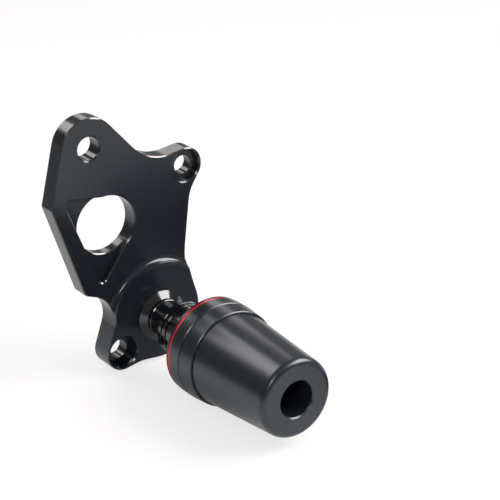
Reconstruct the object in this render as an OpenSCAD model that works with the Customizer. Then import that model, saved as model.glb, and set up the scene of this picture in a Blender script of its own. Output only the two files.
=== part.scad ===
// Motorcycle frame slider: a milled plate bracket that carries a round crash puck on a turned stem.
// X runs to the right, Z runs up and -Y runs out of the motorcycle, along the slider's axis.
// The origin is the centre of the large frame hole, on the back face of the plate.
// Depths called h are counted from that back face towards the end of the puck.

/* [Slider axis] */
// Slider axis, to the right of the frame hole
axis_x = 25.7; // [23:0.1:29]
// Slider axis, below the frame hole
axis_drop = 50.7; // [48:0.1:55]

/* [Plate] */
// Thickness of the plate
plate_t = 9; // [7:0.5:12]
// Radius of the sharp left corner
corner_r = 1.6; // [1.4:0.1:4]
// Left corner, to the left of the frame hole
corner_x = 27.8; // [25:0.1:31]
// Left corner, above the frame hole
corner_z = 14; // [11:0.1:17]
// Radius of the heel above the notch
heel_r = 3.6; // [2:0.1:6]
// Heel, to the left of the frame hole
heel_x = 10.7; // [9:0.1:14]
// Heel, below the frame hole
heel_drop = 29.1; // [27:0.1:31]
// Radius of the notch between the heel and the lower lug
notch_r = 13.2; // [11:0.1:14.5]
// Direction from the heel to the middle of the notch
notch_angle = 264; // [258:1:270]

/* [Frame hole] */
// Radius of the frame hole
frame_hole_r = 14.5; // [13:0.1:15.5]
// Chamfer on the front rim of the frame hole
frame_hole_chamfer = 0.6; // [0.3:0.1:1]
// Depth of the pocket milled around the hole
pocket_depth = 3.2; // [2:0.1:4.5]
// Radius of the pocket's left corner
pocket_left_r = 2.5; // [1.5:0.1:4]
// Left corner of the pocket, to the left of the frame hole
pocket_left_x = 19.2; // [17:0.1:20]
// Left corner of the pocket, above the frame hole
pocket_left_z = 14.3; // [11:0.1:15]
// Radius of the pocket's lower corner
pocket_low_r = 2; // [1:0.1:3]
// Lower corner of the pocket, to the left of the frame hole
pocket_low_x = 3.6; // [2:0.1:6]
// Lower corner of the pocket, below the frame hole
pocket_low_drop = 25.6; // [20:0.1:27]

/* [Lugs] */
// Radius of the upper left lug
left_lug_r = 14.5; // [12:0.1:16]
// Upper left hole, to the left of the frame hole
left_lug_x = 8.8; // [6:0.1:11]
// Upper left hole, above the frame hole
left_lug_z = 39.2; // [36:0.1:44]
// Radius of the plain upper left hole
plain_hole_r = 5.6; // [4:0.1:7]
// Radius of the upper right lug
right_lug_r = 9; // [8.8:0.1:11]
// Upper right hole, to the right of the frame hole
right_lug_x = 43.1; // [41:0.1:46]
// Upper right hole, above the frame hole
right_lug_z = 19.6; // [17:0.1:23]
// Radius of the lower lug
low_lug_r = 9; // [8.8:0.1:11]
// Lower hole, to the right of the frame hole
low_lug_x = 4.8; // [2:0.1:6]
// Lower hole, below the frame hole
low_lug_drop = 64.6; // [61:0.1:68]
// Radius of the two counterbored bolt holes
bolt_hole_r = 4.5; // [4:0.1:6]
// Radius of their counterbores
counterbore_r = 7.5; // [6.8:0.1:8]
// Metal left under the upper right counterbore
seat_web = 6; // [4:0.1:6.5]
// Metal left under the lower counterbore
low_seat_web = 7; // [4:0.1:8]
// Chamfer on the rims of the small holes
hole_chamfer = 0.7; // [0.3:0.1:1]

/* [Plate curves] */
// Radius of the saddle between the upper lugs
saddle_r = 24; // [20:0.5:26]
// Direction from the upper right hole to the middle of the saddle
saddle_angle = 109; // [106:0.5:112]
// Radius of the hollow under the upper right lug
shoulder_r = 18; // [14:0.5:24]
// Direction from the upper right hole to the middle of that hollow
shoulder_angle = -44; // [-48:0.5:-38]
// Radius of the hollow above the boss
waist_r = 40; // [34:1:46]
// Direction from the slider axis to the middle of that hollow
waist_angle = 25; // [23:0.5:27]
// Radius of the hollow between the boss and the lower lug
belly_r = 20; // [12:0.5:26]

/* [Boss] */
// Radius of the plate around the slider axis
boss_edge_r = 21.9; // [21:0.1:24]
// Height of the boss above the plate
boss_rise = 3; // [2:0.1:4]
// Radius of the flat top of the boss
boss_flat_r = 24.6; // [24.2:0.1:26]
// Width of the chamfer round the flat top
boss_chamfer = 1.4; // [0.8:0.1:2]
// Drop of that chamfer
boss_chamfer_drop = 0.7; // [0.3:0.1:1]
// Radius of the fillet at the foot of the boss
boss_fillet_r = 3.2; // [1.5:0.1:4]
// Height above the slider axis at which the raised level runs out into the notch
lug_rise = 6.5; // [5:0.1:8]

/* [Stem] */
// Length of the stem, from the boss to the hub
stem_len = 17; // [14:0.5:22]
// Radius of the stem's foot
foot_r = 12.5; // [11:0.1:14]
// Thickness of the rim of the foot
foot_t = 0.7; // [0.4:0.1:1.5]
// Length of the cone from the foot to the collar
cone_len = 2.3; // [1.5:0.1:4]
// Radius of the collar
collar_r = 9.3; // [9:0.1:10.5]
// Width of the collar
collar_w = 2.2; // [1.2:0.1:4]
// Radius of the neck where it leaves the collar
neck_r = 8.3; // [7.5:0.1:8.6]
// Radius of the waist, where the neck is thinnest
stem_waist_r = 7.4; // [6.8:0.1:8.4]
// Radius of the stem where it meets the hub
stem_end_r = 11; // [9.5:0.1:12]

/* [Hub] */
// Length of the hub, from the stem to the back plate
hub_len = 22.4; // [18:0.1:28]
// Radius of the hub
hub_r = 13; // [12.2:0.1:15]
// Width of each rib at the stem end
rib_w = 2.2; // [1.2:0.1:3]
// Width of each groove between the ribs
rib_gap = 1; // [0.5:0.1:1.5]
// Depth of those grooves
rib_depth = 1; // [0.4:0.1:1.5]

/* [Puck] */
// Radius of the base cap and of the back edge of the puck's band
band_r = 23.8; // [22:0.1:26]
// Thickness of the back plate behind the red ring
back_plate_t = 1.6; // [1.2:0.1:4]
// Depth of the back plate's edge below the band
back_plate_inset = 0.3; // [0.1:0.1:1]
// Depth of the red ring's edge below the band
red_ring_inset = 0.3; // [0.1:0.1:1]
// Thickness of the red ring
red_ring_t = 1.3; // [0.8:0.1:2.5]
// Taper of the band, from its back edge to its front edge
band_taper = 0.7; // [0:0.1:1.2]
// Thickness of the base cap
cap_t = 7.3; // [5:0.1:9]
// Thickness of the rubber shim
shim_t = 0.4; // [0.3:0.1:1]
// Depth of the shim's edge below the band
shim_inset = 0.6; // [0.3:0.1:1.2]
// Width of the band on the puck
band_w = 8.6; // [6:0.1:12]
// Length of the puck, without its spigot
puck_len = 56.7; // [50:0.1:65]
// Step from the front edge of the band down to the barrel
barrel_step = 1; // [0.6:0.1:2]
// Radius of the barrel at its rounded end
nose_r = 18.8; // [17:0.1:20.5]
// Radius of the rounding at the end
nose_round = 3; // [1.5:0.1:4]
// Width of the shoulder round the puck's spigot
shoulder_w = 4.8; // [2:0.1:8]
// Length of the puck's spigot
spigot_len = 3; // [2:0.1:4]
// Radius of the open bore
tool_bore_r = 8.6; // [8.4:0.1:10]
// Depth of the open bore, down to the top of the bolt head
tool_bore_depth = 27.9; // [20:0.1:32]
// Chamfer on the rim of the bore
tool_bore_chamfer = 0.6; // [0.3:0.1:1.2]
// Chamfer on the edges of the band and the base cap
band_chamfer = 0.4; // [0.2:0.1:0.8]

/* [Bolt] */
// Nominal radius of the bolt's shank
bolt_r = 5; // [4.5:0.1:5.2]
// Radius of the bolt head
head_r = 8; // [7.2:0.1:8]
// Height of the bolt head
head_h = 10; // [8:0.1:12]
// Width across the flats of the hex socket
socket_af = 8; // [6:0.5:9]
// Depth of the hex socket
socket_depth = 5; // [3:0.1:6]
// Thickness of the plain washer
washer_t = 1.8; // [1:0.1:2.5]
// Thickness of the lock washer
lock_washer_t = 2; // [1.5:0.1:2.5]
// Wall of the sleeve round the shank
sleeve_wall = 1.3; // [1:0.1:1.5]
// Outer radius of the threaded insert
insert_r = 6; // [5.7:0.1:6.8]
// Distance of the bolt's tip from the back face
tip_gap = 1.5; // [0.5:0.1:3]

/* [Hidden] */

// Angle between the points of a round stretch of an outline
arc_step = 7.5;
// Straight run kept between two curves of the outline
edge_run = 0.5;
// Overshoot of a cutter past the face that it cuts
over = 1;
// Radial clearance of a pressed or threaded fit
tight = 0.05;
// Radial clearance of a part that slides over another
slide = 0.2;
// Chamfer on small turned edges
break_edge = 0.3;
// Chamfer on the ribs' edges
rib_edge = 0.1;
// Distance by which the pocket's round end stays inside the frame hole
pocket_inside = 0.3;
// Number of steps in a turned fillet
fillet_steps = 10;
$fn = 96;

slider_axis = [axis_x, -axis_drop];
left_hole = [-left_lug_x, left_lug_z];
right_hole = [right_lug_x, right_lug_z];
low_hole = [low_lug_x, -low_lug_drop];

// Depths h of the faces along the slider's axis
boss_h = plate_t + boss_rise;
hub_h = boss_h + stem_len;
back_plate_h = hub_h + hub_len;
ring_h = back_plate_h + back_plate_t;
cap_h = ring_h + red_ring_t;
shim_h = cap_h + cap_t;
puck_h = shim_h + shim_t;
barrel_h = puck_h + band_w;
nose_h = puck_h + puck_len;
head_top_h = nose_h - tool_bore_depth;
head_h0 = head_top_h - head_h;
lock_h0 = head_h0 - lock_washer_t;
washer_h0 = lock_h0 - washer_t;

back_plate_r = band_r - back_plate_inset;
red_ring_r = band_r - red_ring_inset;
band_end_r = band_r - band_taper;
barrel_r = band_end_r - barrel_step;
spigot_r = band_r - shoulder_w;
shank_bore_r = bolt_r + slide;
sleeve_r = shank_bore_r + sleeve_wall;
washer_r = tool_bore_r - 2 * slide;
seat_bore_r = tool_bore_r - slide;

function dir(a) = [cos(a), sin(a)];
function limit(v) = max(-1, min(1, v));
function wrap(a) = a - 360 * floor(a / 360);

// A circle of an outline is [x, z, r], and a hollow one has a negative r.
function ring(c, r) = [c.x, c.y, r];

// A hollow of radius r that touches the circle p in direction a
function hollow_beside(p, r, a) = ring([p.x, p.y] + (p.z + r + edge_run) * dir(a), -r);

// A hollow of radius r that touches both circles, to the right of the way from p to q
function hollow_between(p, q, r) =
    let (
        away = [q.x - p.x, q.y - p.y],
        far = norm(away),
        side_p = p.z + r + edge_run,
        side_q = q.z + r + edge_run,
        bend = acos(limit((side_p ^ 2 + far ^ 2 - side_q ^ 2) / (2 * side_p * far)))
    )
    ring([p.x, p.y] + side_p * dir(atan2(away.y, away.x) - bend), -r);

// Direction of the outward normal on the straight run from circle p to circle q
function run_normal(p, q) =
    let (away = [q.x - p.x, q.y - p.y])
    atan2(away.y, away.x) - acos(limit((p.z - q.z) / norm(away)));

// Round stretch on circle p from normal a to normal b, moved in by inset
function stretch(p, a, b, inset) =
    let (
        turn = p.z > 0 ? wrap(b - a) : -wrap(a - b),
        steps = max(1, ceil(abs(turn) / arc_step))
    )
    [for (i = [0 : steps]) [p.x, p.y] + (p.z - inset) * dir(a + turn * i / steps)];

// Counterclockwise outline that runs round the circles like a belt
function belt(circles, inset = 0) =
    let (n = len(circles))
    [
        for (i = [0 : n - 1])
            let (
                before = circles[(i + n - 1) % n],
                here = circles[i],
                after = circles[(i + 1) % n]
            )
            each stretch(here, run_normal(before, here), run_normal(here, after), inset)
    ];

// Points of a quarter or other part of a circle in a turned profile
function bow(c, r, a, b, steps = fillet_steps) =
    [for (i = [0 : steps]) c + r * dir(a + (b - a) * i / steps)];

left_lug = ring(left_hole, left_lug_r);
right_lug = ring(right_hole, right_lug_r);
low_lug = ring(low_hole, low_lug_r);
boss_edge = ring(slider_axis, boss_edge_r);

plate_outline = [
    boss_edge,
    hollow_beside(boss_edge, waist_r, waist_angle),
    hollow_beside(right_lug, shoulder_r, shoulder_angle),
    right_lug,
    hollow_beside(right_lug, saddle_r, saddle_angle),
    left_lug,
    ring([-corner_x, corner_z], corner_r),
    ring([-heel_x, -heel_drop], heel_r),
    hollow_beside(ring([-heel_x, -heel_drop], heel_r), notch_r, notch_angle),
    low_lug,
    hollow_between(low_lug, boss_edge, belly_r)
];

pocket_outline = [
    ring([0, 0], frame_hole_r - pocket_inside),
    ring([-pocket_left_x, pocket_left_z], pocket_left_r),
    ring([-pocket_low_x, -pocket_low_drop], pocket_low_r)
];

// Straight extrusion of a flat shape from depth h0 to depth h1
module slab(h0, h1) {
    translate([0, -h0, 0])
        rotate([90, 0, 0])
            linear_extrude(h1 - h0)
                children();
}

// Turned solid about the point c of the plate, from a profile of [radius, h]
module turned(c, profile) {
    translate([c.x, 0, c.y])
        rotate([90, 0, 0])
            rotate_extrude()
                polygon(profile);
}

// Round cutter through the plate at c, from depth h0 to h1
module drill(c, r, h0, h1) {
    translate([c.x, 0, c.y])
        rotate([90, 0, 0])
            translate([0, 0, h0])
                cylinder(r = r, h = h1 - h0);
}

// Cutter for a chamfer on the rim of a hole of radius r that opens towards the front at depth h
module rim_chamfer(c, r, size, h) {
    turned(c, [[0, h - size], [r, h - size], [r + size + over, h + over], [0, h + over]]);
}

// The same for a rim on the back face
module back_chamfer(c, r, size) {
    turned(c, [[0, size], [r, size], [r + size + over, -over], [0, -over]]);
}

module boss_disc() {
    rim_r = boss_flat_r + boss_chamfer;
    rim_h = boss_h - boss_chamfer_drop;
    climb = min(boss_fillet_r, rim_h - plate_t);
    sweep = acos(1 - climb / boss_fillet_r);
    foot_r = rim_r + boss_fillet_r * sin(sweep);
    root_h = plate_t - over;
    turned(slider_axis, concat(
        [[0, root_h], [foot_r, root_h]],
        bow([foot_r, plate_t + boss_fillet_r], boss_fillet_r, 270, 270 - sweep),
        [[rim_r, rim_h], [boss_flat_r, boss_h], [boss_flat_r, boss_h + over], [0, boss_h + over]]
    ));
}

// Space over the lower lug, where the boss's height runs on to the edge
module lug_space() {
    reach = boss_flat_r + 2 * low_lug_r;
    root_h = plate_t - over;
    translate([axis_x - reach, -boss_h - over, -axis_drop - reach])
        cube([reach, boss_h + over - root_h, reach + lug_rise]);
}

// Space in front of the plate, where the blank is milled down round the boss and the lower lug
module milled_space() {
    reach = 4 * boss_edge_r;
    difference() {
        slab(plate_t, boss_h + over)
            translate([-reach, -reach])
                square(2 * reach);
        boss_disc();
        lug_space();
    }
}

module bolt_hole(c, web, face_h) {
    drill(c, bolt_hole_r, -over, face_h + over);
    drill(c, counterbore_r, web, face_h + over);
    rim_chamfer(c, counterbore_r, hole_chamfer, face_h);
    back_chamfer(c, bolt_hole_r, hole_chamfer);
}

module bracket() {
    color([0.05, 0.05, 0.055])
        difference() {
            slab(0, boss_h)
                polygon(belt(plate_outline));
            milled_space();
            drill([0, 0], frame_hole_r, -over, plate_t + over);
            rim_chamfer([0, 0], frame_hole_r, frame_hole_chamfer, plate_t);
            slab(plate_t - pocket_depth, plate_t + over)
                polygon(belt(pocket_outline));
            drill(left_hole, plain_hole_r, -over, plate_t + over);
            rim_chamfer(left_hole, plain_hole_r, hole_chamfer, plate_t);
            back_chamfer(left_hole, plain_hole_r, hole_chamfer);
            bolt_hole(right_hole, seat_web, plate_t);
            bolt_hole(low_hole, low_seat_web, boss_h);
            drill(slider_axis, insert_r, -over, boss_h + over);
        }
}

module thread_insert() {
    color([0.62, 0.62, 0.6])
        turned(slider_axis, [
            [bolt_r, 0], [insert_r - tight, 0], [insert_r - tight, boss_h], [bolt_r, boss_h]
        ]);
}

module stem() {
    collar_h = boss_h + foot_t + cone_len;
    neck_h = collar_h + collar_w;
    swell_r = stem_end_r - stem_waist_r;
    color([0.06, 0.06, 0.065])
        turned(slider_axis, concat(
            [
                [shank_bore_r, boss_h],
                [foot_r, boss_h],
                [foot_r, boss_h + foot_t],
                [collar_r, collar_h],
                [collar_r, neck_h - break_edge],
                [collar_r - break_edge, neck_h],
                [neck_r, neck_h]
            ],
            bow([stem_end_r, hub_h - swell_r], swell_r, 180, 90),
            [[shank_bore_r, hub_h]]
        ));
}

module hub() {
    rib_pitch = rib_w + rib_gap;
    groove_r = hub_r - rib_depth;
    color([0.06, 0.06, 0.065])
        turned(slider_axis, concat(
            [[shank_bore_r, hub_h]],
            [
                for (i = [0 : 1])
                    let (h = hub_h + i * rib_pitch)
                    each [
                        [hub_r - rib_edge, h],
                        [hub_r, h + rib_edge],
                        [hub_r, h + rib_w - rib_edge],
                        [hub_r - rib_edge, h + rib_w],
                        [groove_r, h + rib_w],
                        [groove_r, h + rib_pitch]
                    ]
            ],
            [
                [hub_r - break_edge, hub_h + 2 * rib_pitch],
                [hub_r, hub_h + 2 * rib_pitch + break_edge],
                [hub_r, back_plate_h],
                [shank_bore_r, back_plate_h]
            ]
        ));
}

module back_plate() {
    hole_r = sleeve_r + slide;
    color([0.07, 0.07, 0.075])
        turned(slider_axis, [
            [hole_r, back_plate_h],
            [back_plate_r - 2 * break_edge, back_plate_h],
            [back_plate_r, back_plate_h + 2 * break_edge],
            [back_plate_r, ring_h],
            [hole_r, ring_h]
        ]);
}

module red_ring() {
    hole_r = sleeve_r + slide;
    color([0.75, 0.06, 0.05])
        turned(slider_axis, [
            [hole_r, ring_h],
            [red_ring_r - break_edge, ring_h],
            [red_ring_r, ring_h + break_edge],
            [red_ring_r, cap_h - break_edge],
            [red_ring_r - break_edge, cap_h],
            [hole_r, cap_h]
        ]);
}

module base_cap() {
    hole_r = sleeve_r + slide;
    floor_h = puck_h - spigot_len - slide;
    color([0.07, 0.07, 0.075])
        turned(slider_axis, [
            [hole_r, cap_h],
            [band_r - band_chamfer, cap_h],
            [band_r, cap_h + band_chamfer],
            [band_r, shim_h - band_chamfer],
            [band_r - band_chamfer, shim_h],
            [spigot_r + slide, shim_h],
            [spigot_r + slide, floor_h],
            [hole_r, floor_h]
        ]);
}

module shim() {
    color([0.03, 0.03, 0.03])
        turned(slider_axis, [
            [spigot_r + slide, shim_h],
            [band_r - shim_inset, shim_h],
            [band_r - shim_inset, puck_h],
            [spigot_r + slide, puck_h]
        ]);
}

module puck() {
    bore_r = sleeve_r + slide;
    round_h = nose_h - nose_round;
    taper = atan((barrel_r - nose_r) / (round_h - barrel_h));
    color([0.09, 0.09, 0.095])
        turned(slider_axis, concat(
            [
                [bore_r, puck_h - spigot_len],
                [spigot_r, puck_h - spigot_len],
                [spigot_r, puck_h],
                [band_r - band_chamfer, puck_h],
                [band_r, puck_h + band_chamfer],
                [band_end_r, barrel_h - band_chamfer],
                [band_end_r - band_chamfer, barrel_h],
                [barrel_r, barrel_h]
            ],
            bow([nose_r - nose_round, round_h], nose_round, taper, 90),
            [
                [tool_bore_r + tool_bore_chamfer, nose_h],
                [tool_bore_r, nose_h - tool_bore_chamfer],
                [tool_bore_r, head_top_h],
                [seat_bore_r, head_top_h],
                [seat_bore_r, washer_h0],
                [bore_r, washer_h0]
            ]
        ));
}

module sleeve() {
    color([0.6, 0.6, 0.6])
        turned(slider_axis, [
            [shank_bore_r, back_plate_h],
            [sleeve_r, back_plate_h],
            [sleeve_r, washer_h0],
            [shank_bore_r, washer_h0]
        ]);
}

module plain_washer() {
    color([0.6, 0.6, 0.6])
        turned(slider_axis, [
            [shank_bore_r, washer_h0],
            [washer_r, washer_h0],
            [washer_r, lock_h0],
            [shank_bore_r, lock_h0]
        ]);
}

module lock_washer() {
    slit = 2;
    slit_lean = 20;
    outer_r = head_r - tight;
    color([0.45, 0.45, 0.45])
        difference() {
            turned(slider_axis, [
                [shank_bore_r, lock_h0], [outer_r, lock_h0], [outer_r, head_h0], [shank_bore_r, head_h0]
            ]);
            translate([axis_x, -(lock_h0 + head_h0) / 2, -axis_drop])
                rotate([slit_lean, 0, 0])
                    translate([0, -lock_washer_t, -slit / 2])
                        cube([2 * head_r, 2 * lock_washer_t, slit]);
        }
}

module main_bolt() {
    tip = 1;
    head_edge = 0.8;
    color([0.12, 0.12, 0.12])
        difference() {
            turned(slider_axis, [
                [0, tip_gap],
                [bolt_r - tight - tip, tip_gap],
                [bolt_r - tight, tip_gap + tip],
                [bolt_r - tight, head_h0],
                [head_r, head_h0],
                [head_r, head_top_h - head_edge],
                [head_r - head_edge, head_top_h],
                [0, head_top_h]
            ]);
            translate([axis_x, 0, -axis_drop])
                rotate([90, 0, 0])
                    translate([0, 0, head_top_h - socket_depth])
                        cylinder(r = socket_af / 2 / cos(30), h = socket_depth + over, $fn = 6);
        }
}

bracket();
thread_insert();
stem();
hub();
back_plate();
red_ring();
base_cap();
shim();
puck();
sleeve();
plain_washer();
lock_washer();
main_bolt();
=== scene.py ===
"""Looks, light and camera for the motorcycle frame slider."""
import math

import bpy
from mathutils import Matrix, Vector


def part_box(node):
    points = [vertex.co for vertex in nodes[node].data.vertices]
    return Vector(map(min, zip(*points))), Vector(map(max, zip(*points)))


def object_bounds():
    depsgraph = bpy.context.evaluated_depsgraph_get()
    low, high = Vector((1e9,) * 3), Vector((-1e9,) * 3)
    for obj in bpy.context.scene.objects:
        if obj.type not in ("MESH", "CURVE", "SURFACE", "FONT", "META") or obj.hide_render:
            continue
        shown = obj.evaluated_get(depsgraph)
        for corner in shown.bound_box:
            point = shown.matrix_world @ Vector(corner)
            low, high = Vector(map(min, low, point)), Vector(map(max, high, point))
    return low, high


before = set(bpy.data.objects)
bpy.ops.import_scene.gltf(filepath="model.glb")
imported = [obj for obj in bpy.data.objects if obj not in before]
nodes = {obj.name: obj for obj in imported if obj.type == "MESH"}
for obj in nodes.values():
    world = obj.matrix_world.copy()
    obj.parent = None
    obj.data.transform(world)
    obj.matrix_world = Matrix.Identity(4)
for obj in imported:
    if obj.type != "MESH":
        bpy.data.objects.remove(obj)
cad_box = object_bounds()
MM = 0.001

# Camera, fitted to the photograph
CAMERA_PLACE = Vector((-418.8, -696.4, 332.4)) * MM
CAMERA_AZIMUTH = -35.971
CAMERA_ELEVATION = 23.23
CAMERA_LENS = 136.8
SENSOR = 36.0

# Chamfers of the milled plate: their width, the least angle of a chamfered edge, and the places along Y of
# its flat faces, each with the share of the width that its edges get
EDGE_WIDTH = 0.5 * MM
EDGE_ANGLE = 50
EDGE_LEVELS = ((0.0, 1.0), (-5.8 * MM, 1.0), (-9 * MM, 1.0), (-12 * MM, 0.6))
LEVEL_TOLERANCE = 0.1 * MM
SHORTEST_EDGE = 0.1 * MM
CREASE_ANGLE = 32

# World: the strength that lights the object, and what glossy rays meet above the floor
AMBIENT = 0.38
WALL_GLOW = 0.16
CEILING_GLOW = 0.3
BACKDROP_GLOW = 0.1
BACKDROP_SIDE = Vector((0.64, 0.77, 0))
BACKDROP_REACH = (0.75, 1.0)
WALL_REACH = (0.1, 0.9)

# Floor as glossy rays meet it: white, with painted shade in a dark spot, a painted shadow under the object
# and a painted fade far away
# Painted shade: a dark oval patch on the floor that only glossy rays see, its centre, lengths, reach and lean
PAINTED_SHADE_SPOT = Vector((0.138, -0.16, 0))
PAINTED_SHADE_SPOT_LONG = 0.1
PAINTED_SHADE_SPOT_SHORT = 0.055
PAINTED_SHADE_SPOT_REACH = (0.4, 1.3)
PAINTED_SHADE_SPOT_LEAN = math.radians(57.7)
# Painted shadow on the floor under the object, seen only by glossy rays: its centre, reach and darkest level
PAINTED_SHADOW = Vector((0.05, -0.045, 0))
PAINTED_SHADOW_REACH = (0.045, 0.09)
PAINTED_SHADOW_LEVEL = 0.33
# Painted pool of light on the floor for glossy rays: its centre, its reach, and the painted fade level far
# away
PAINTED_LIGHT_POOL = Vector((0.2, 0.05, 0))
PAINTED_LIGHT_POOL_REACH = (0.32, 0.62)
PAINTED_FADE_LEVEL = 0.3

# Floor as the camera sees it: its half width, colour and share of plain white, which leaves a faint shadow
FLOOR_HALF = 3.0
FLOOR_COLOUR = (0.85, 0.85, 0.85, 1)
FLOOR_GLOW = 0.74

# Lamps: name, azimuth from +Y towards +X, elevation, distance, width, height and brightness in reflections
LAMPS = (
    ("key", -20, 43, 0.9, 0.42, 0.48, 3.7),
    ("rim", 30, 30, 1.0, 0.35, 0.3, 1.8),
    ("side", 122, 38, 0.9, 0.75, 0.5, 8.0),
    ("left", -140, 32, 0.9, 0.16, 0.22, 10.0),
)
WATTS_PER_RADIANCE = 4.0
LAMP_COLOUR = (1.0, 0.92, 0.89)

WHITE = (1, 1, 1, 1)
BLUE_TINT = (0.86, 0.95, 1.0)
PALE_BLUE_TINT = (0.9, 0.96, 1.0)


def shader(name):
    """A new material with its Principled shader, and a helper that adds nodes to it."""
    material = bpy.data.materials.new(name)
    material.use_nodes = True
    tree = material.node_tree
    bsdf = tree.nodes["Principled BSDF"]

    def add(kind, **settings):
        node = tree.nodes.new(kind)
        for key, value in settings.items():
            if key in node.inputs:
                node.inputs[key].default_value = value
            else:
                setattr(node, key, value)
        return node

    return material, tree, bsdf, add


def mixed(tree, add, factor, low, high):
    """A colour between low and high, by a factor socket."""
    node = add("ShaderNodeMix", data_type="RGBA")
    tree.links.new(factor, node.inputs["Factor"])
    node.inputs["A"].default_value = (*low, 1)
    node.inputs["B"].default_value = (*high, 1)
    return node.outputs["Result"]


def axis_coordinates(tree, add, centre):
    """Object coordinates measured from a point on the slider's axis."""
    where = add("ShaderNodeTexCoord")
    shifted = add("ShaderNodeVectorMath", operation="SUBTRACT")
    tree.links.new(where.outputs["Object"], shifted.inputs[0])
    shifted.inputs[1].default_value = centre
    return shifted.outputs["Vector"]


def turned_material(
    name, colour, roughness, metallic, pitch, depth, centre, specular=0.5, tint=(1, 1, 1)
):
    """Turned surface: fine tool marks along the axis, a fine grain, and faint cloudiness."""
    material, tree, bsdf, add = shader(name)
    place = axis_coordinates(tree, add, centre)
    split = add("ShaderNodeSeparateXYZ")
    tree.links.new(place, split.inputs["Vector"])
    square_x = add("ShaderNodeMath", operation="MULTIPLY")
    square_z = add("ShaderNodeMath", operation="MULTIPLY")
    for node, axis in ((square_x, "X"), (square_z, "Z")):
        tree.links.new(split.outputs[axis], node.inputs[0])
        tree.links.new(split.outputs[axis], node.inputs[1])
    total = add("ShaderNodeMath", operation="ADD")
    tree.links.new(square_x.outputs[0], total.inputs[0])
    tree.links.new(square_z.outputs[0], total.inputs[1])
    radius = add("ShaderNodeMath", operation="SQRT")
    tree.links.new(total.outputs[0], radius.inputs[0])
    travel = add("ShaderNodeMath", operation="ADD")
    tree.links.new(radius.outputs[0], travel.inputs[0])
    tree.links.new(split.outputs["Y"], travel.inputs[1])
    along = add("ShaderNodeCombineXYZ")
    tree.links.new(travel.outputs[0], along.inputs["X"])
    marks = add("ShaderNodeTexNoise", Scale=1 / (pitch * MM), Detail=2.0, Roughness=0.6)
    tree.links.new(along.outputs["Vector"], marks.inputs["Vector"])
    cloud = add("ShaderNodeTexNoise", Scale=90.0, Detail=5.0, Roughness=0.6)
    tree.links.new(place, cloud.inputs["Vector"])
    speck = add("ShaderNodeTexNoise", Scale=2600.0, Detail=2.0, Roughness=0.5)
    tree.links.new(place, speck.inputs["Vector"])
    low, high = [c * 0.8 for c in colour], [c * 1.2 for c in colour]
    tree.links.new(mixed(tree, add, cloud.outputs["Fac"], low, high), bsdf.inputs["Base Color"])
    rough = add("ShaderNodeMapRange")
    tree.links.new(cloud.outputs["Fac"], rough.inputs["Value"])
    rough.inputs["To Min"].default_value = roughness * 0.97
    rough.inputs["To Max"].default_value = roughness * 1.03
    tree.links.new(rough.outputs["Result"], bsdf.inputs["Roughness"])
    bump = add("ShaderNodeBump", Strength=0.3, Distance=depth * MM)
    tree.links.new(marks.outputs["Fac"], bump.inputs["Height"])
    grain = add("ShaderNodeBump", Strength=0.2, Distance=depth * MM)
    tree.links.new(speck.outputs["Fac"], grain.inputs["Height"])
    tree.links.new(bump.outputs["Normal"], grain.inputs["Normal"])
    tree.links.new(grain.outputs["Normal"], bsdf.inputs["Normal"])
    bsdf.inputs["Metallic"].default_value = metallic
    bsdf.inputs["Specular IOR Level"].default_value = specular
    bsdf.inputs["Specular Tint"].default_value = (*tint, 1)
    return material


def milled_material(name, colour, roughness, specular, tint=(1, 1, 1), ior=1.5):
    """Milled and anodised plate: fine grain and faint cloudiness."""
    material, tree, bsdf, add = shader(name)
    where = add("ShaderNodeTexCoord")
    place = where.outputs["Object"]
    grain = add("ShaderNodeTexNoise", Scale=3200.0, Detail=3.0, Roughness=0.6)
    tree.links.new(place, grain.inputs["Vector"])
    cloud = add("ShaderNodeTexNoise", Scale=45.0, Detail=4.0, Roughness=0.55)
    tree.links.new(place, cloud.inputs["Vector"])
    low, high = [c * 0.75 for c in colour], [c * 1.25 for c in colour]
    tree.links.new(mixed(tree, add, cloud.outputs["Fac"], low, high), bsdf.inputs["Base Color"])
    rough = add("ShaderNodeMapRange")
    tree.links.new(cloud.outputs["Fac"], rough.inputs["Value"])
    rough.inputs["To Min"].default_value = roughness * 0.85
    rough.inputs["To Max"].default_value = roughness * 1.15
    tree.links.new(rough.outputs["Result"], bsdf.inputs["Roughness"])
    bump = add("ShaderNodeBump", Strength=0.12, Distance=0.01 * MM)
    tree.links.new(grain.outputs["Fac"], bump.inputs["Height"])
    tree.links.new(bump.outputs["Normal"], bsdf.inputs["Normal"])
    bsdf.inputs["IOR"].default_value = ior
    bsdf.inputs["Specular IOR Level"].default_value = specular
    bsdf.inputs["Specular Tint"].default_value = (*tint, 1)
    return material


def dress(name, *materials):
    """Gives a CAD node its material, and one for its new edges where a second is named."""
    piece = nodes[name]
    piece.data.materials.clear()
    for material in materials:
        piece.data.materials.append(material)


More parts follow.
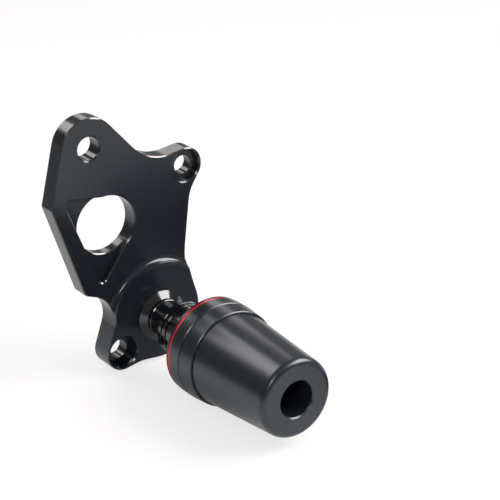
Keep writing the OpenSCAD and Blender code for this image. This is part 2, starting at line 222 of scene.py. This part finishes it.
def sharp_outer_edges():
    """A node group that gives full bevel weight to the sharp outer edges of the plate's flat faces alone."""
    group = bpy.data.node_groups.new("sharp_outer_edges", "GeometryNodeTree")
    group.interface.new_socket("Geometry", in_out="INPUT", socket_type="NodeSocketGeometry")
    group.interface.new_socket("Geometry", in_out="OUTPUT", socket_type="NodeSocketGeometry")
    start = group.nodes.new("NodeGroupInput")
    end = group.nodes.new("NodeGroupOutput")
    angle = group.nodes.new("GeometryNodeInputMeshEdgeAngle")
    place = group.nodes.new("GeometryNodeInputPosition")
    split = group.nodes.new("ShaderNodeSeparateXYZ")
    group.links.new(place.outputs["Position"], split.inputs["Vector"])
    level = 0.0
    for height, share in EDGE_LEVELS:
        gap = link_math(group, "ABSOLUTE", link_math(group, "SUBTRACT", split.outputs["Y"], height), 0.0)
        near = link_math(group, "MULTIPLY", link_math(group, "LESS_THAN", gap, LEVEL_TOLERANCE), share)
        level = link_math(group, "MAXIMUM", level, near)
    sharp = link_math(group, "GREATER_THAN", angle.outputs["Signed Angle"], math.radians(EDGE_ANGLE))
    store = group.nodes.new("GeometryNodeStoreNamedAttribute")
    store.data_type = "FLOAT"
    store.domain = "EDGE"
    store.inputs["Name"].default_value = "bevel_weight_edge"
    group.links.new(start.outputs[0], store.inputs["Geometry"])
    group.links.new(link_math(group, "MULTIPLY", sharp, level), store.inputs["Value"])
    group.links.new(store.outputs["Geometry"], end.inputs[0])
    return group


def chamfer_edges(name):
    """Narrow flat chamfers on a CAD node's square edges, by modifiers, in its second material."""
    piece = nodes[name]
    weld = piece.modifiers.new("weld", "WELD")
    weld.merge_threshold = SHORTEST_EDGE
    flat = piece.modifiers.new("flat", "DECIMATE")
    flat.decimate_type = "DISSOLVE"
    flat.angle_limit = math.radians(1)
    weights = piece.modifiers.new("outer edges", "NODES")
    weights.node_group = sharp_outer_edges()
    bevel = piece.modifiers.new("chamfers", "BEVEL")
    bevel.width = EDGE_WIDTH
    bevel.segments = 1
    bevel.limit_method = "WEIGHT"
    bevel.use_clamp_overlap = False
    bevel.material = 1
    split = piece.modifiers.new("creases", "EDGE_SPLIT")
    split.split_angle = math.radians(CREASE_ANGLE)
    split.use_edge_sharp = False
    normals = piece.modifiers.new("normals", "WEIGHTED_NORMAL")
    normals.keep_sharp = False


def make_materials():
    lo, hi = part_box("hub")
    centre = ((lo.x + hi.x) / 2, 0, (lo.z + hi.z) / 2)
    plate = milled_material("black_anodised_plate", (0.009, 0.012, 0.0165), 0.17, 0.62, BLUE_TINT)
    edge = milled_material("black_anodised_chamfer", (0.008, 0.009, 0.0105), 0.15, 1.0, ior=1.6)
    turned = turned_material(
        "black_anodised_turned", (0.004, 0.0045, 0.0055), 0.12, 0.0, 0.35, 0.002, centre, 1.0, PALE_BLUE_TINT
    )
    red = turned_material("red_anodised", (0.72, 0.012, 0.02), 0.3, 0.3, 0.3, 0.004, centre)
    puck = turned_material(
        "black_turned_plastic", (0.010, 0.0140, 0.0195), 0.27, 0.0, 0.22, 0.002, centre, 0.72, BLUE_TINT
    )
    rubber = milled_material("black_rubber", (0.008, 0.008, 0.008), 0.7, 0.3)
    steel = turned_material("zinc_plated_steel", (0.5, 0.5, 0.48), 0.35, 1.0, 0.4, 0.01, centre)
    oxide = turned_material("black_oxide_steel", (0.03, 0.03, 0.03), 0.35, 0.6, 0.4, 0.01, centre)
    dress("bracket", plate, edge)
    for name in ("stem", "hub"):
        dress(name, turned)
    dress("red_ring", red)
    for name in ("back_plate", "base_cap", "puck"):
        dress(name, puck)
    dress("shim", rubber)
    for name in ("thread_insert", "sleeve", "plain_washer", "lock_washer"):
        dress(name, steel)
    dress("main_bolt", oxide)


def make_camera():
    azimuth, elevation = math.radians(CAMERA_AZIMUTH), math.radians(CAMERA_ELEVATION)
    back = Vector((
        math.sin(azimuth) * math.cos(elevation),
        -math.cos(azimuth) * math.cos(elevation),
        math.sin(elevation),
    ))
    data = bpy.data.cameras.new("camera")
    data.lens = CAMERA_LENS
    data.sensor_width = SENSOR
    data.clip_start = 0.05
    data.clip_end = 20
    camera = bpy.data.objects.new("camera", data)
    bpy.context.scene.collection.objects.link(camera)
    camera.location = CAMERA_PLACE
    camera.rotation_mode = "QUATERNION"
    camera.rotation_quaternion = (-back).to_track_quat("-Z", "Y")
    bpy.context.scene.camera = camera


def softbox(name, azimuth, elevation, distance, width, height, radiance):
    """An area lamp towards the object, with its brightness as reflections show it."""
    lo, hi = cad_box
    target = (lo + hi) / 2
    turn, rise = math.radians(azimuth), math.radians(elevation)
    away = Vector((math.sin(turn) * math.cos(rise), math.cos(turn) * math.cos(rise), math.sin(rise)))
    data = bpy.data.lights.new(name, "AREA")
    data.shape = "RECTANGLE"
    data.size = width
    data.size_y = height
    data.energy = radiance * width * height * WATTS_PER_RADIANCE
    data.color = LAMP_COLOUR
    light = bpy.data.objects.new(name, data)
    bpy.context.scene.collection.objects.link(light)
    light.location = target + away * distance
    light.rotation_mode = "QUATERNION"
    light.rotation_quaternion = away.to_track_quat("Z", "Y")
    light.visible_camera = False
    return light


def link_math(tree, operation, first, second):
    """A Math node on two sockets or numbers; returns its output."""
    node = tree.nodes.new("ShaderNodeMath")
    node.operation = operation
    for value, socket in ((first, node.inputs[0]), (second, node.inputs[1])):
        if isinstance(value, (int, float)):
            socket.default_value = value
        else:
            tree.links.new(value, socket)
    return node.outputs[0]


def eased(tree, value, reach, levels):
    """A value's smooth change from one level to another over a reach."""
    node = tree.nodes.new("ShaderNodeMapRange")
    node.interpolation_type = "SMOOTHSTEP"
    tree.links.new(value, node.inputs["Value"])
    keys = ("From Min", "From Max", "To Min", "To Max")
    for key, number in zip(keys, (*reach, *levels)):
        node.inputs[key].default_value = number
    return node.outputs["Result"]


def distance_from(add, tree, where, point):
    """The distance of the shaded place from a point."""
    node = add("ShaderNodeVectorMath", operation="DISTANCE")
    tree.links.new(where, node.inputs[0])
    node.inputs[1].default_value = point
    return node.outputs["Value"]


def make_world():
    """White for the camera; glossy and transmission rays meet a studio, bright above and dim at the walls."""
    world = bpy.data.worlds.new("world")
    world.use_nodes = True
    bpy.context.scene.world = world
    tree = world.node_tree
    background = tree.nodes["Background"]
    background.inputs["Color"].default_value = WHITE
    path = tree.nodes.new("ShaderNodeLightPath")
    where = tree.nodes.new("ShaderNodeTexCoord")
    split = tree.nodes.new("ShaderNodeSeparateXYZ")
    tree.links.new(where.outputs["Generated"], split.inputs["Vector"])
    studio = eased(tree, split.outputs["Z"], WALL_REACH, (WALL_GLOW, CEILING_GLOW))
    side = tree.nodes.new("ShaderNodeVectorMath")
    side.operation = "DOT_PRODUCT"
    tree.links.new(where.outputs["Generated"], side.inputs[0])
    side.inputs[1].default_value = BACKDROP_SIDE
    backdrop = eased(tree, side.outputs["Value"], BACKDROP_REACH, (0.0, BACKDROP_GLOW))
    room = link_math(tree, "ADD", studio, backdrop)
    mirrored = link_math(tree, "MAXIMUM", path.outputs["Is Glossy Ray"], path.outputs["Is Transmission Ray"])
    seen = link_math(tree, "MULTIPLY", mirrored, room)
    lit = link_math(tree, "MULTIPLY", link_math(tree, "SUBTRACT", 1.0, mirrored), AMBIENT)
    other = link_math(tree, "ADD", seen, lit)
    level = link_math(tree, "MAXIMUM", path.outputs["Is Camera Ray"], other)
    tree.links.new(level, background.inputs["Strength"])


def floor_material(z):
    """Pale floor: white with a faint shadow for the camera; for glossy rays white with painted shade, a
    painted shadow under the object and a painted pool of light that fades far away.
    """
    material, tree, bsdf, add = shader("pale_floor")
    bsdf.inputs["Base Color"].default_value = FLOOR_COLOUR
    bsdf.inputs["Roughness"].default_value = 0.9
    path = add("ShaderNodeLightPath")
    where = add("ShaderNodeTexCoord").outputs["Object"]
    height = Vector((0, 0, z))
    # Painted shade: a dark oval patch in the floor's glow for glossy rays
    spot = add("ShaderNodeMapping", vector_type="TEXTURE")
    tree.links.new(where, spot.inputs["Vector"])
    spot.inputs["Location"].default_value = PAINTED_SHADE_SPOT + height
    spot.inputs["Rotation"].default_value = (0, 0, -PAINTED_SHADE_SPOT_LEAN)
    spot.inputs["Scale"].default_value = (PAINTED_SHADE_SPOT_LONG, PAINTED_SHADE_SPOT_SHORT, 1)
    spread = add("ShaderNodeVectorMath", operation="LENGTH")
    tree.links.new(spot.outputs["Vector"], spread.inputs[0])
    dark = eased(tree, spread.outputs["Value"], PAINTED_SHADE_SPOT_REACH, (0.0, 1.0))
    # Painted pool of light: the floor's glow for glossy rays fades away from a point
    away = distance_from(add, tree, where, PAINTED_LIGHT_POOL + height)
    fade = eased(tree, away, PAINTED_LIGHT_POOL_REACH, (1.0, PAINTED_FADE_LEVEL))
    # Painted shadow: the floor's glow for glossy rays is dimmed near a point under the object
    under = distance_from(add, tree, where, PAINTED_SHADOW + height)
    near = eased(tree, under, PAINTED_SHADOW_REACH, (PAINTED_SHADOW_LEVEL, 1.0))
    # Glossy rays see white times the painted shade spot, the painted pool of light and the painted shadow
    level = link_math(tree, "MULTIPLY", link_math(tree, "MULTIPLY", dark, fade), near)
    mirrored = link_math(tree, "MAXIMUM", path.outputs["Is Glossy Ray"], path.outputs["Is Transmission Ray"])
    seen = link_math(tree, "MULTIPLY", mirrored, level)
    glow = add("ShaderNodeEmission")
    glow.inputs["Color"].default_value = WHITE
    tree.links.new(link_math(tree, "MAXIMUM", seen, path.outputs["Is Camera Ray"]), glow.inputs["Strength"])
    share = link_math(tree, "MULTIPLY", path.outputs["Is Camera Ray"], FLOOR_GLOW)
    choice = add("ShaderNodeMixShader")
    tree.links.new(link_math(tree, "MAXIMUM", share, mirrored), choice.inputs["Fac"])
    tree.links.new(bsdf.outputs["BSDF"], choice.inputs[1])
    tree.links.new(glow.outputs["Emission"], choice.inputs[2])
    tree.links.new(choice.outputs["Shader"], tree.nodes["Material Output"].inputs["Surface"])
    return material


def make_floor():
    z = cad_box[0].z
    half = FLOOR_HALF
    corners = [(x, y, z) for x, y in ((-half, -half), (half, -half), (half, half), (-half, half))]
    mesh = bpy.data.meshes.new("floor")
    mesh.from_pydata(corners, [], [(0, 1, 2, 3)])
    mesh.materials.append(floor_material(z))
    floor = bpy.data.objects.new("floor", mesh)
    bpy.context.scene.collection.objects.link(floor)


make_materials()
chamfer_edges("bracket")
make_camera()
make_world()
make_floor()
for lamp in LAMPS:
    softbox(*lamp)
bpy.context.scene.view_settings.view_transform = "Standard"
